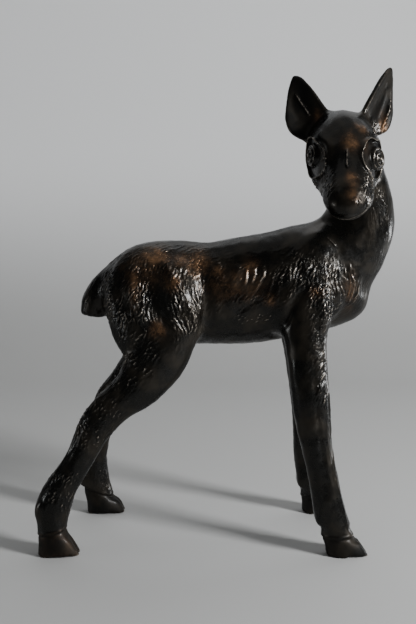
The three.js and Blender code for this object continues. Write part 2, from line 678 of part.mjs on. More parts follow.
// Thins a closed mesh by collapsing, pass after pass, the edges whose loss moves the surface least.
// An edge goes only where its ends share just two neighbours and no face turns over.
function thinned({ positions, triangles }, target) {
  const vertexCount = positions.length / 3;
  const at = (v) => [positions[3 * v], positions[3 * v + 1], positions[3 * v + 2]];

  // Each vertex keeps the sum of its faces' squared plane distances, as ten numbers.
  const planes = new Float64Array(vertexCount * 10);
  for (let t = 0; t < triangles.length; t += 3) {
    const p = at(triangles[t]);
    const n = normalOf(p, at(triangles[t + 1]), at(triangles[t + 2]));
    const area = Math.hypot(...n) || 1e-12;
    const [a, b, c] = n.map((v) => v / area);
    const d = -(a * p[0] + b * p[1] + c * p[2]);
    const plane = [a * a, a * b, a * c, a * d, b * b, b * c, b * d, c * c, c * d, d * d];
    for (let v = 0; v < 3; v++)
      for (let i = 0; i < 10; i++) planes[triangles[t + v] * 10 + i] += plane[i] * area;
  }

  // Finds the spot that an edge's two ends would best move to, and what the move costs.
  const q = new Float64Array(10);
  const spot = new Float64Array(3);
  function weigh(a, b) {
    for (let k = 0; k < 10; k++) q[k] = planes[a * 10 + k] + planes[b * 10 + k];
    const [xx, xy, xz, xw, yy, yz, yw, zz, zw, ww] = q;
    const dx = positions[3 * a] - positions[3 * b];
    const dy = positions[3 * a + 1] - positions[3 * b + 1];
    const dz = positions[3 * a + 2] - positions[3 * b + 2];
    const long2 = dx * dx + dy * dy + dz * dz;
    const mx = positions[3 * a] - dx / 2;
    const my = positions[3 * a + 1] - dy / 2;
    const mz = positions[3 * a + 2] - dz / 2;
    let [x, y, z] = [mx, my, mz];
    const [c0, c1, c2] = [yy * zz - yz * yz, xy * zz - yz * xz, xy * yz - yy * xz];
    const det = xx * c0 - xy * c1 + xz * c2;
    const trace = xx + yy + zz;
    if (Math.abs(det) > 1e-5 * trace * trace * trace) {
      x = (-xw * c0 + yw * c1 - zw * c2) / det;
      y = (xw * c1 - yw * (xx * zz - xz * xz) + zw * (xx * yz - xy * xz)) / det;
      z = (-xw * c2 + yw * (xx * yz - xy * xz) - zw * (xx * yy - xy * xy)) / det;
      if ((x - mx) ** 2 + (y - my) ** 2 + (z - mz) ** 2 > long2) [x, y, z] = [mx, my, mz];
    }
    spot[0] = x;
    spot[1] = y;
    spot[2] = z;
    const off = xx * x * x + yy * y * y + zz * z * z + 2 * (xy * x * y + xz * x * z + yz * y * z);
    return off + 2 * (xw * x + yw * y + zw * z) + ww + 2e-4 * long2 * long2;
  }

  while (triangles.length / 3 > target) {
    const starts = new Uint32Array(vertexCount + 1);
    for (let c = 0; c < triangles.length; c++) starts[triangles[c] + 1]++;
    for (let v = 0; v < vertexCount; v++) starts[v + 1] += starts[v];
    const next = starts.slice();
    const list = new Uint32Array(triangles.length);
    for (let c = 0; c < triangles.length; c++) list[next[triangles[c]]++] = c - (c % 3);
    const around = (v) => list.subarray(starts[v], starts[v + 1]);
    const ring = (v) => {
      const found = [];
      for (const t of around(v))
        for (let i = 0; i < 3; i++) if (!found.includes(triangles[t + i])) found.push(triangles[t + i]);
      return found;
    };

    const edgeCount = triangles.length / 2;
    const ends = new Uint32Array(2 * edgeCount);
    const costs = new Float64Array(edgeCount);
    let e = 0;
    for (let c = 0; c < triangles.length; c++) {
      const [a, b] = [triangles[c], triangles[c % 3 === 2 ? c - 2 : c + 1]];
      if (a > b) continue;
      ends[2 * e] = a;
      ends[2 * e + 1] = b;
      costs[e++] = weigh(a, b);
    }
    const limit = costs.slice().sort()[Math.floor(edgeCount * 0.35)];
    const cheap = [];
    for (let i = 0; i < edgeCount; i++) if (costs[i] <= limit) cheap.push(i);
    cheap.sort((i, j) => costs[i] - costs[j]);

    const touched = new Uint8Array(vertexCount);
    const gone = new Uint8Array(triangles.length);
    let left = triangles.length / 3;
    for (const i of cheap) {
      const [a, b] = [ends[2 * i], ends[2 * i + 1]];
      if (left <= target) break;
      if (touched[a] || touched[b]) continue;
      const [ringA, ringB] = [ring(a), ring(b)];
      if (ringA.filter((v) => v !== a && v !== b && ringB.includes(v)).length !== 2) continue;
      weigh(a, b);
      const [kept, lost] = [[], []];
      for (const t of around(a)) (triangles.subarray(t, t + 3).includes(b) ? lost : kept).push(t);
      for (const t of around(b)) if (!lost.includes(t)) kept.push(t);
      const turns = kept.some((t) => {
        const old = [at(triangles[t]), at(triangles[t + 1]), at(triangles[t + 2])];
        const now = old.map((p, k) => (triangles[t + k] === a || triangles[t + k] === b ? spot : p));
        const [m, n] = [normalOf(...old), normalOf(...now)];
        const size = Math.hypot(...n);
        return m[0] * n[0] + m[1] * n[1] + m[2] * n[2] <= 0.3 * Math.hypot(...m) * size || size < 0.05;
      });
      if (turns) continue;
      positions.set(spot, 3 * a);
      for (let k = 0; k < 10; k++) planes[a * 10 + k] += planes[b * 10 + k];
      for (const t of around(b))
        for (let k = 0; k < 3; k++) if (triangles[t + k] === b) triangles[t + k] = a;
      for (const t of lost) gone.fill(1, t, t + 3);
      for (const v of [...ringA, ...ringB]) touched[v] = 1;
      left -= 2;
    }
    const before = triangles.length;
    triangles = triangles.filter((_, i) => !gone[i]);
    if (triangles.length === before) break;
  }
  return { positions, triangles };
}

function geometryOf({ positions, triangles }) {
  const g = new THREE.BufferGeometry();
  g.setAttribute("position", new THREE.BufferAttribute(Float32Array.from(positions), 3));
  g.setIndex(new THREE.BufferAttribute(Uint32Array.from(triangles), 1));
  const loose = g.toNonIndexed();
  return mergeVertices(loose, 1e-4);
}

const wasm = await Module();
wasm.setup();
function solidOf(geometry) {
  const g = geometry.clone();
  g.deleteAttribute("normal");
  g.deleteAttribute("uv");
  const merged = mergeVertices(g, 1e-4);
  const vertProperties = merged.attributes.position.array;
  const triVerts = new Uint32Array(merged.index.array);
  return new wasm.Manifold(new wasm.Mesh({ numProp: 3, vertProperties, triVerts }));
}

const reach = new THREE.Box3();
for (const { bounds, carve } of limbs) if (!carve) reach.union(bounds);
reach.expandByScalar(gridStep);
reach.min.z = -belowSole - 2 * gridStep;

const drawn = evened(surfaceOf(fieldOf(limbs, -belowSole), reach, gridStep), eveningRounds);
const skin = evened(thinned(drawn, triangleTarget), 1);
const underside = new THREE.BoxGeometry(4 * standingHeight, 4 * standingHeight, standingHeight);
underside.translate(0, 0, -standingHeight / 2);
const cast = solidOf(geometryOf(skin)).subtract(solidOf(underside));

const made = cast.getMesh();
const figure = new THREE.BufferGeometry();
figure.setAttribute("position", new THREE.BufferAttribute(made.vertProperties, made.numProp));
figure.setIndex(new THREE.BufferAttribute(made.triVerts, 1));
figure.computeVertexNormals();

const fawn = new THREE.Mesh(figure, bronze);
fawn.name = "fawn";
figure.computeBoundingBox();
const middle = figure.boundingBox.getCenter(new THREE.Vector3());
figure.translate(-middle.x, -middle.y, 0);
const part = new THREE.Group();
part.add(fawn);

export default part;
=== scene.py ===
"""The looks of a cast bronze fawn, built round its solid: fine surface, chased fur and patina.

Lengths are metres in the part's own frame: +X towards the breast, +Z up, the near side is -Y.
Places that are read off the photograph are pixels of its 416 x 624 frame, and are cast from the
camera onto the skin.
"""
import math

import bmesh
import bpy
import numpy as np
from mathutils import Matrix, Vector
from mathutils.bvhtree import BVHTree
from mathutils.kdtree import KDTree


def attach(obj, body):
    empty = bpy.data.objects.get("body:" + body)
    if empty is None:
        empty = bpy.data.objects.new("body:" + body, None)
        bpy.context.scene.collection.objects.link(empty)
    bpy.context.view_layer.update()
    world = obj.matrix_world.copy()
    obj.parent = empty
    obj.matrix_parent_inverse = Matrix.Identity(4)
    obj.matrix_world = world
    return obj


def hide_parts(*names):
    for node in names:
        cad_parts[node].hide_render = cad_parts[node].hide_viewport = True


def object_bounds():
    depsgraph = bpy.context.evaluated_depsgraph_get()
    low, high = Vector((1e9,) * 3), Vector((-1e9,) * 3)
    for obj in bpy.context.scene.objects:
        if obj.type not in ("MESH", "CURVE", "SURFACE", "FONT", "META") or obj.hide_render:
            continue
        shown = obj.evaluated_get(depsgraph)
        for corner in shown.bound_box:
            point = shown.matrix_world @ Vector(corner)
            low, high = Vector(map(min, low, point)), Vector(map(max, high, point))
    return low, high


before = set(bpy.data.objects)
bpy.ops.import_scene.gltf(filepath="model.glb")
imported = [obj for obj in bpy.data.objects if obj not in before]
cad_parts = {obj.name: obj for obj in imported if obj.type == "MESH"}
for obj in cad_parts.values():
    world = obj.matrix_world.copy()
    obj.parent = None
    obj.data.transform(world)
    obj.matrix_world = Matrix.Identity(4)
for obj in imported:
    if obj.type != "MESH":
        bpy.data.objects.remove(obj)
cad_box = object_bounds()

MM = 0.001
rng = np.random.default_rng(7)

# The photograph's camera: focal length in pixels, place, and tilt below the horizon.
PHOTO_WIDTH = 416
PHOTO_HEIGHT = 624
FOCAL_PIXELS = 860
CAMERA_PLACE = np.array([-0.0084, -0.8355, 0.313])
CAMERA_TILT = math.radians(6)

# Mesh of the finished skin.
VOXEL = 0.9 * MM
EYE_REACH = 27 * MM  # the mesh is twice as fine this near to an eye
TRIANGLE_LIMIT = 196000

# The figure's own landmarks.
MIDDLE_Y = 12.5 * MM  # the body's middle plane
FACE_PLACE = np.array([118.15, -23.5, 367.5]) * MM
FACE_AHEAD = np.array([-2.0, -78.0, -60.0])
EARS = (
    ((98.1, 0.5, 403.0), (75.6, 20.5, 454.0)),
    ((141.1, 0.5, 410.2), (171.6, 16.5, 466.2)),
)
# Each hoof's middle, the height of its coronet there, and how the coronet slopes.
HOOVES = (
    (-149.5, -48.0, 24.0, 0.2),
    (-119.5, 73.0, 22.0, -0.35),
    (123.4, -48.0, 19.0, 0.05),
    (113.8, 73.0, 19.0, 0.05),
)
HOOF_REACH = 42 * MM  # in plan, all of a hoof lies within this of its middle
HOOF_CORE = 36 * MM  # and what lies within this belongs to it wholly
# The straight front of a hind and a fore hoof, in pixels from the coronet to the toe.
HIND_FRONT = ((66.5, 532), (81.5, 554))
FORE_FRONT = ((350, 529), (369.5, 556))


def unit(v):
    v = np.asarray(v, float)
    return v / np.linalg.norm(v, axis=-1, keepdims=True)


def ramp(x, start, end):
    """0 before start, 1 after end, smooth between. Start may lie above end."""
    t = np.clip((x - start) / (end - start), 0, 1)
    return t * t * (3 - 2 * t)


def bump(x, width):
    return np.exp(-((x / width) ** 2))


ahead = unit(FACE_AHEAD)
sideways = unit(np.array([1.0, 0, 0]) - ahead * ahead[0])
crown = np.cross(ahead, sideways)


def on_face(across, forward, up):
    """A point in the face's own directions, in millimetres."""
    return FACE_PLACE + (across * sideways + forward * ahead + up * crown) * MM


def photo_ray(px, py):
    u = (px - PHOTO_WIDTH / 2) / FOCAL_PIXELS
    v = (PHOTO_HEIGHT / 2 - py) / FOCAL_PIXELS
    c, s = math.cos(CAMERA_TILT), math.sin(CAMERA_TILT)
    return unit([u, c + v * s, -s + v * c])


# The fine skin: the solid rounded off, laid on an even grid and smoothed.
class Network:
    """Points joined by edges, over which values are spread."""

    def __init__(self, a, b, count):
        self.a, self.b, self.count = a, b, count
        degree = np.bincount(a, minlength=count) + np.bincount(b, minlength=count)
        self.degree = np.maximum(degree, 1)

    def part(self, chosen):
        """The network of the chosen points alone."""
        index = np.full(self.count, -1)
        index[chosen] = np.arange(chosen.sum())
        a, b = index[self.a], index[self.b]
        inner = (a >= 0) & (b >= 0)
        return Network(a[inner], b[inner], int(chosen.sum()))

    def gather(self, at_a, at_b):
        """The sum over each point's edges, given what each edge brings to its two ends."""
        return np.bincount(self.a, at_a, self.count) + np.bincount(self.b, at_b, self.count)

    def pull(self, values):
        """How far each value lies from the mean of its neighbours."""
        out = np.empty_like(values)
        for k in range(values.shape[1]):
            v = values[:, k]
            out[:, k] = self.gather(v[self.b], v[self.a]) / self.degree - v
        return out

    def spread(self, values, rounds):
        for _ in range(rounds):
            values = values + 0.5 * self.pull(values)
        return values


class Skin(Network):
    """A mesh as arrays, with what is needed to smooth and push it."""

    def __init__(self, mesh):
        self.mesh = mesh
        count = len(mesh.vertices)
        self.at = np.empty(count * 3)
        mesh.vertices.foreach_get("co", self.at)
        self.at = self.at.reshape(-1, 3)
        ends = np.empty(len(mesh.edges) * 2, np.int32)
        mesh.edges.foreach_get("vertices", ends)
        super().__init__(ends[::2], ends[1::2], count)

    def smooth(self, rounds, share=1.0):
        """Takes out what is smaller than the rounds reach, and keeps the larger form."""
        once = self.spread(self.at, rounds)
        twice = self.spread(once, rounds)
        share = np.broadcast_to(np.asarray(share, float), self.count)[:, None]
        self.at = self.at + share * (2 * once - twice - self.at)

    def write(self):
        self.mesh.vertices.foreach_set("co", self.at.ravel())
        self.mesh.update()

    def normals(self):
        self.write()
        n = np.empty(self.count * 3, np.float32)
        self.mesh.vertex_normals.foreach_get("vector", n)
        return n.reshape(-1, 3).astype(float)


def link(obj):
    bpy.context.scene.collection.objects.link(obj)
    return obj


def evaluated(obj, name):
    bpy.context.view_layer.update()
    depsgraph = bpy.context.evaluated_depsgraph_get()
    mesh = bpy.data.meshes.new_from_object(obj.evaluated_get(depsgraph))
    mesh.name = name
    return mesh


def even_grid(node):
    """The node's form on an even quad grid."""
    rough = link(bpy.data.objects.new("rough", node.data.copy()))
    bm = bmesh.new()
    bm.from_mesh(rough.data)
    bmesh.ops.remove_doubles(bm, verts=bm.verts, dist=1e-5)
    bm.to_mesh(rough.data)
    bm.free()
    rounded = rough.modifiers.new("rounded", "SUBSURF")
    rounded.levels = 2
    grid = rough.modifiers.new("grid", "REMESH")
    grid.mode = "VOXEL"
    grid.voxel_size = VOXEL
    mesh = evaluated(rough, "fawn_cast")
    bpy.data.objects.remove(rough)
    return mesh


def finer_near(mesh, places, reach):
    bm = bmesh.new()
    bm.from_mesh(mesh)
    near = [v for v in bm.verts if min((v.co - p).length for p in places) < reach]
    chosen = set(near)
    edges = [e for e in bm.edges if e.verts[0] in chosen and e.verts[1] in chosen]
    bmesh.ops.subdivide_edges(bm, edges=edges, cuts=1, use_grid_fill=True)
    bmesh.ops.triangulate(bm, faces=[f for f in bm.faces if len(f.verts) > 4])
    bm.to_mesh(mesh)
    bm.free()


# Each eye's pupil, in the face's own directions: across, forward and up.
EYE_POLE = {1: (31.6, 9.6, 11.2), -1: (-33.0, 0.5, 8.0)}
eye_places = {s: on_face(*EYE_POLE[s]) for s in (1, -1)}

mesh = even_grid(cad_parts["fawn"])
finer_near(mesh, [Vector(p) for p in eye_places.values()], EYE_REACH)
skin = Skin(mesh)


def ear_share(points):
    """1 on the ears, 0 on the skull and elsewhere."""
    share = np.zeros(len(points))
    for base, tip in EARS:
        base, tip = np.array(base) * MM, np.array(tip) * MM
        along = (points - base) @ unit(tip - base)
        aside = np.linalg.norm(points - base - np.outer(along, unit(tip - base)), axis=1)
        share = np.maximum(share, ramp(along, 2 * MM, 10 * MM) * ramp(aside, 34 * MM, 28 * MM))
    return share


def hoof_zone(points, hoof, above):
    """1 on one hoof, fading out so far above its coronet; and each point's height over that."""
    x, y, top, slope = hoof
    aside = np.hypot(points[:, 0] - x * MM, points[:, 1] - y * MM)
    height = points[:, 2] - (top + slope * (points[:, 0] / MM - x)) * MM
    return ramp(aside, HOOF_REACH, HOOF_CORE) * ramp(height, above * MM, 0), height


def hoof_share(points):
    return np.max([hoof_zone(points, hoof, 4)[0] for hoof in HOOVES], axis=0)


thin = np.maximum(ear_share(skin.at), 0.85 * hoof_share(skin.at))
skin.smooth(16, 1 - 0.8 * thin)
skin.smooth(3, 1)


FILL_GAIN = 1.1
FILL_SOFTENING = 4  # rounds that soften what is filled in


def fill_hollows(share, rounds, times=1):
    """Fills what lies below the smoothed skin, and leaves what stands above it."""
    chosen = share > 0
    patch = skin.part(chosen)
    for _ in range(times):
        at, normals = skin.at[chosen], skin.normals()[chosen]
        hollow = ((patch.spread(at, rounds) - at) * normals).sum(1)
        gain = patch.spread((np.maximum(hollow, 0) * share[chosen])[:, None], FILL_SOFTENING)
        skin.at[chosen] += FILL_GAIN * gain * normals


def even_out(share, rounds, strength):
    """Smooths one area without shrinking it."""
    chosen = share > 0
    patch = skin.part(chosen)
    once = patch.spread(skin.at[chosen], rounds)
    even = 2 * once - patch.spread(once, rounds)
    skin.at[chosen] += strength * share[chosen][:, None] * (even - skin.at[chosen])


# The hooves' fronts are trimmed softly, below the height where the trim sets in.
TRIM_SOFTNESS = 1.4 * MM
TRIM_NONE_ABOVE = 30 * MM
TRIM_FULL_BELOW = 24 * MM


def trim_front(hoof, pixels, shift):
    """Brings what stands before the hoof's straight front back to it."""
    rays = [photo_ray(*q) for q in pixels]
    near_y = HOOVES[0][1] * MM
    top, toe = (CAMERA_PLACE + r * (near_y - CAMERA_PLACE[1]) / r[1] for r in rays)
    x, z = skin.at[:, 0] - shift, skin.at[:, 2]
    limit = toe[0] + (z - toe[2]) * (top[0] - toe[0]) / (top[2] - toe[2])
    own = np.hypot(x + shift - hoof[0] * MM, skin.at[:, 1] - hoof[1] * MM) < HOOF_REACH
    trimmed = limit - TRIM_SOFTNESS * np.logaddexp(0, (limit - x) / TRIM_SOFTNESS)
    skin.at[:, 0] += own * (trimmed - x) * ramp(z, TRIM_NONE_ABOVE, TRIM_FULL_BELOW)


COLLAR_DEPTH = (19 * MM, 9 * MM)  # below the coronet, where the filled collar ends and is full
# The coronet's low step and the groove under it: height above it, half width and rise, in millimetres.
CORONET = ((1.0, 1.1, 0.55), (-1.3, 1.2, -0.6))


def draw_coronets():
    """A plain hoof under each leg, with a low step where the leg's skin ends."""
    trim_front(HOOVES[0], HIND_FRONT, 0)
    trim_front(HOOVES[2], FORE_FRONT, 0)
    trim_front(HOOVES[3], FORE_FRONT, (HOOVES[3][0] - HOOVES[2][0]) * MM)
    collar = np.zeros(skin.count)
    for hoof in HOOVES:
        zone, above = hoof_zone(skin.at, hoof, 14)
        collar = np.maximum(collar, zone * ramp(above, -COLLAR_DEPTH[0], -COLLAR_DEPTH[1]))
    fill_hollows(collar, rounds=60, times=7)
    even_out(collar, rounds=30, strength=0.8)
    for hoof in HOOVES:
        zone, above = hoof_zone(skin.at, hoof, 12)
        step = sum(rise * bump(above - height * MM, wide * MM) for height, wide, rise in CORONET)
        skin.at += (zone * step * MM)[:, None] * skin.normals()


# The muzzle is fuller beside the nose than the solid: across, forward, up, and how much.
MUZZLE_SIDES = ((-15, 54, -6, 3.4), (15, 52, -6, 2.8))
MUZZLE_REACH = 15 * MM


def fill_muzzle():
    """Fills the waist between the cheeks and the nose, so the muzzle is a plain wedge."""
    d = skin.at - FACE_PLACE
    forward, high = d @ ahead, d @ crown
    share = ramp(forward, 14 * MM, 26 * MM) * ramp(forward, 78 * MM, 66 * MM)
    share *= ramp(np.linalg.norm(d, axis=1), 90 * MM, 80 * MM) * ramp(high, -20 * MM, -8 * MM)
    share *= skin.at[:, 1] < -20 * MM
    fill_hollows(share, rounds=200)
    for across, forward, up, fuller in MUZZLE_SIDES:
        away = np.linalg.norm(skin.at - on_face(across, forward, up), axis=1)
        skin.at += (fuller * MM * bump(away, MUZZLE_REACH))[:, None] * skin.normals()


fill_muzzle()
draw_coronets()

# The throat stands a little fuller, and the breast is nipped in below it: height, reach, push.
FRONT_CONTOUR = ((300, 24, 2.6), (250, 13, -3.4), (228, 9, 0.8))
normals = skin.normals()
front = ramp(normals[:, 0], 0.1, 0.7) * ramp(skin.at[:, 0], 120 * MM, 145 * MM)
for height, reach, amount in FRONT_CONTOUR:
    skin.at += (amount * MM * front * bump(skin.at[:, 2] - height * MM, reach * MM))[:, None] * normals


def skin_tree():
    skin.write()
    corners = [tuple(p) for p in skin.at]
    return BVHTree.FromPolygons(corners, [tuple(p.vertices) for p in skin.mesh.polygons])


def caster():
    """Casts a pixel of the photograph onto the skin as it is now."""
    tree = skin_tree()

    def cast(px, py):
        hit = tree.ray_cast(Vector(CAMERA_PLACE), Vector(photo_ray(px, py)))
        return np.array(hit[0]) if hit[0] is not None else None

    return cast


cast = caster()


def pixel_size(place):
    """How wide one pixel of the photograph is at a place."""
    return np.linalg.norm(place - CAMERA_PLACE) / FOCAL_PIXELS


# Eyes: a round dome with two raised rings, in a long socket with a sharp rim.
EYE_SURROUNDS = 42 * MM
EYE_DOME = 19 * MM
EYE_EDGE = 10.8 * MM
RINGS = ((9.5, 0.85, 1.25), (6.0, 0.8, 1.2))  # radius, half width and height in millimetres
PUPIL = (2.8, 1.4)  # radius and height in millimetres
PUPIL_GROOVE = (3.8, 0.7, 0.4)  # radius, half width and depth in millimetres
LOOKS = {1: (0.75, -0.66, 0.04), -1: (-0.975, -0.22, 0.02)}  # where each dome points
SOCKET_FACES = {1: (0.72, -0.69, 0.08), -1: (-0.86, -0.50, 0.05)}  # where each socket opens
# The rim that the photograph shows, in pixels, and its hidden outer part, in millimetres
# outwards and upwards from the pupil.
RIM_SEEN = {
    1: ((375, 141), (370, 137.5), (366, 141), (363, 147), (361, 153), (361, 158), (363, 163),
        (365, 168), (369, 173), (374, 179)),
    -1: ((317, 142), (321.5, 145), (325.5, 151), (326.5, 158), (326.5, 166), (325, 171),
         (320, 177), (315, 178)),
}
RIM_HIDDEN = {1: ((9, 17), (14, 8), (14.5, -2), (11, -13)), -1: ((9, 16), (13, 8), (13.5, -3), (9, -15))}
SOCKET_DEEP = 2.7 * MM
RIM_LIP = 1.9 * MM


def socket_reach(side, level, up, angles):
    """How far the rim lies from the pupil at each angle."""
    pole = eye_places[side]
    seen = [cast(*q) - pole for q in RIM_SEEN[side]]
    flat = [(d @ level, d @ up) for d in seen] + [(a * MM, b * MM) for a, b in RIM_HIDDEN[side]]
    flat = np.array(flat)
    turn = np.arctan2(flat[:, 1], flat[:, 0])
    reach = np.hypot(flat[:, 0], flat[:, 1])
    order = np.argsort(turn)
    grid = np.linspace(-math.pi, math.pi, 361)
    table = np.interp(grid, turn[order], reach[order], period=2 * math.pi)
    window = np.hanning(31) / np.hanning(31).sum()
    table = np.convolve(np.concatenate([table[-16:-1], table, table[1:16]]), window, "valid")
    return np.interp(angles, grid, table)


def round_eye(side):
    """The points round one eye, on its own side of the head."""
    away = np.linalg.norm(skin.at - eye_places[side], axis=1)
    return (away < EYE_SURROUNDS) & (skin.normals() @ unit(SOCKET_FACES[side]) > 0)


def carve_socket(side, near):
    """Sinks the opening below the rim's own surface, which is carried over it as a curved sheet."""
    out = unit(SOCKET_FACES[side])
    level = unit(np.cross([0, 0, 1], out)) * side
    up = unit(np.array([0, 0, 1]) - out * out[2])
    d = skin.at - eye_places[side]
    x, y, h = d @ level, d @ up, d @ out
    q = np.hypot(x, y) / socket_reach(side, level, up, np.arctan2(y, x))
    rim = near & (q > 1.0) & (q < 1.25)
    inside = near & (q < 1.15)

    def powers(chosen):
        u, v = x[chosen], y[chosen]
        return np.stack([np.ones(len(u)), u, v, u * u, u * v, v * v], 1)

    sheet, *_ = np.linalg.lstsq(powers(rim), h[rim], rcond=None)
    base = powers(inside) @ sheet
    qi, hi = q[inside], h[inside]
    recess = ramp(qi, 0.99, 0.9) * SOCKET_DEEP * (0.6 + 0.4 * ramp(qi, 0.9, 0.5))
    goal = base - recess
    share = ramp(qi, 1.0, 0.93)
    lip = RIM_LIP * bump(qi - 1.0, 0.05)
    skin.at[inside] += ((goal - hi) * share + lip)[:, None] * out


def raise_eyeball(side, near):
    axis = unit(LOOKS[side])
    d = skin.at - (eye_places[side] - axis * EYE_DOME)
    high = d @ axis
    aside = np.linalg.norm(d - np.outer(high, axis), axis=1)
    ball = (aside < EYE_EDGE + 1.2 * MM) & (high > 0) & near
    r = aside[ball]
    top = np.sqrt(np.maximum(EYE_DOME**2 - r**2, 0))
    for radius, wide, tall in RINGS:
        top += tall * MM * bump(r - radius * MM, wide * MM)
    top += PUPIL[1] * MM * ramp(r, PUPIL[0] * MM, 0.4 * PUPIL[0] * MM)
    radius, wide, depth = PUPIL_GROOVE
    top -= depth * MM * bump(r - radius * MM, wide * MM)
    share = ramp(r, EYE_EDGE + 1.0 * MM, EYE_EDGE - 0.2 * MM)
    skin.at[ball] += ((top - high[ball]) * share)[:, None] * axis


for side in (1, -1):
    around = round_eye(side)
    carve_socket(side, around)
    raise_eyeball(side, around)

cast = caster()


def cast_line(pixels, steps=6):
    """A smooth line through the pixels, cast onto the skin."""
    p = np.array(pixels, float)
    ends = np.vstack([2 * p[0] - p[1], p, 2 * p[-1] - p[-2]])
    out = []
    for i in range(len(p) - 1):
        a, b, c, d = ends[i : i + 4]
        for t in np.arange(steps) / steps:
            out.append(
                0.5 * (2 * b + (c - a) * t + (2 * a - 5 * b + 4 * c - d) * t**2
                       + (3 * b - a - 3 * c + d) * t**3)
            )
    out.append(p[-1])
    hits = [cast(*q) for q in out]
    return np.array([h for h in hits if h is not None])


def mirrored(points):
    points = np.array(points, float)
    points[..., 1] = 2 * MIDDLE_Y - points[..., 1]
    return points


def line_distance(points, line):
    """Distance from each point to a polyline, and how far along it the foot lies, from 0 to 1."""
    best = np.full(len(points), np.inf)
    share = np.zeros(len(points))
    lengths = np.linalg.norm(np.diff(line, axis=0), axis=1)
    ends = np.concatenate([[0], np.cumsum(lengths)])
    for i in range(len(line) - 1):
        run = line[i + 1] - line[i]
        t = np.clip((points - line[i]) @ run / max(run @ run, 1e-12), 0, 1)
        d = np.linalg.norm(points - line[i] - np.outer(t, run), axis=1)
        closer = d < best
        best[closer] = d[closer]
        share[closer] = (ends[i] + t[closer] * lengths[i]) / ends[-1]
    return best, share


# Each armpit is a soft fold, not a pocket.
ARMPIT = (284, 326)
ARMPIT_REACH = 24 * MM
ARMPIT_CORE = 11 * MM
armpit = cast(*ARMPIT)
for middle in (armpit, mirrored(armpit)):
    fold = ramp(np.linalg.norm(skin.at - middle, axis=1), ARMPIT_REACH, ARMPIT_CORE)
    fill_hollows(fold, rounds=60, times=5)
    even_out(fold, rounds=30, strength=0.7)

# Lines and marks are gathered here, and move the skin together once all are drawn.
push = np.zeros(skin.count)
facing = skin.normals()


def draw_line(line, width, height, taper):
    """Raises the skin along a line, or cuts it where height is negative."""
    low, high = line.min(0) - 3 * width, line.max(0) + 3 * width
    near = np.where(((skin.at > low) & (skin.at < high)).all(1))[0]
    if len(near) == 0:
        return
    d, share = line_distance(skin.at[near], line)
    ends = ramp(share, 0, taper) * ramp(share, 1, 1 - taper)
    # Only the side that the line lies on, so a thin ear isn't pushed from behind too.
    faces = facing[near]
    own_side = faces @ unit(faces[d < max(1.5 * MM, d.min() * 1.01)].sum(0)) > -0.1
    push[near] += height * bump(d, width) * ends * own_side


# The mouth, in the face's own directions: across, forward and up.
MOUTH = (
    (-15.5, 61, -8), (-11.2, 68.8, -9.8), (-6.6, 72.4, -9.6), (-1.4, 74, -8.2), (4.2, 74, -5.8),
    (8.5, 73.5, -3), (12, 71, -0.6), (13.8, 68.5, 1.5), (14.8, 65, 3.5), (15.2, 58, 7.7),
)
drawn_tree = skin_tree()


def nearest_skin(points):
    return np.array([drawn_tree.find_nearest(Vector(p))[0] for p in points])


lips = np.array([on_face(*p) for p in MOUTH])
draw_line(nearest_skin(lips), 0.9 * MM, 0.9 * MM, 0.1)
draw_line(nearest_skin(lips - 1.9 * MM * crown), 0.9 * MM, -1.3 * MM, 0.1)

# Rib curves and the creases that the near flank shows, in pixels. The far side mirrors them.
RIBS = (
    ((264.5, 264), (263.5, 275), (260, 282), (256, 289), (252, 295)),
    ((274, 272), (272.5, 281), (270, 288), (268, 296)),
    ((255, 266), (254, 276), (250, 284)),
    ((246, 267), (246, 278), (243, 287)),
    ((283, 268), (281, 280), (278, 291), (275, 300)),
)
RIB_WIDE = 1.3 * MM
BESIDE_RIB = np.array([2.6 * MM, 0, 0])
for pixels in RIBS:
    rib = cast_line(pixels)
    for line, strength in ((rib, 1), (mirrored(rib), 0.6)):
        draw_line(line, RIB_WIDE, strength * 0.75 * MM, 0.3)
        draw_line(line + BESIDE_RIB, RIB_WIDE, -strength * 0.55 * MM, 0.3)


def draw_both_sides(pixels, wide, tall, far, taper):
    """Draws a line on the near side, and its mirror image at a share of the height."""
    line = cast_line(pixels)
    draw_line(line, wide * MM, tall * MM, taper)
    draw_line(mirrored(line), wide * MM, far * tall * MM, taper)


# Soft muscle ridges and furrows: pixels, half width and height in millimetres.
MUSCLES = (
    (((137, 258), (133, 275), (133, 297), (140, 312), (151, 326), (160, 335)), 4.0, 1.5),
    (((165, 258), (171, 276), (180, 291), (190, 309), (198, 330)), 4.5, 2.0),
    (((150, 275), (150, 295), (160, 315), (176, 332)), 5.5, -1.7),
    (((124, 262), (119, 285), (124, 318)), 4.5, -1.3),
    (((205, 262), (205, 285), (208, 312), (206, 335)), 6.0, -1.6),
    (((285, 262), (291, 272), (287, 288)), 4.5, 1.3),
    (((302, 255), (308, 268), (318, 275)), 4.0, 0.9),
    (((309, 283), (301, 296), (291, 312), (284, 330)), 4.0, -1.9),
    (((316, 285), (323, 297), (325, 316), (322, 340)), 5.0, 1.7),
    (((337, 268), (333, 285), (336, 303), (333, 320)), 4.0, -1.7),
    (((352, 272), (357, 290), (350, 306)), 6.0, 1.4),
    (((262, 296), (250, 306), (232, 312)), 4.0, -0.8),
    (((240, 262), (236, 278), (226, 292)), 4.0, 0.7),
    (((150, 350), (135, 362), (118, 384), (100, 408)), 3.5, 0.8),
    (((88, 410), (76, 440), (60, 470)), 3.0, -0.8),
    (((312, 350), (316, 400), (322, 450), (330, 500)), 3.0, -0.8),
)
for pixels, wide, tall in MUSCLES:
    draw_both_sides(pixels, wide, tall, far=0.8, taper=0.25)

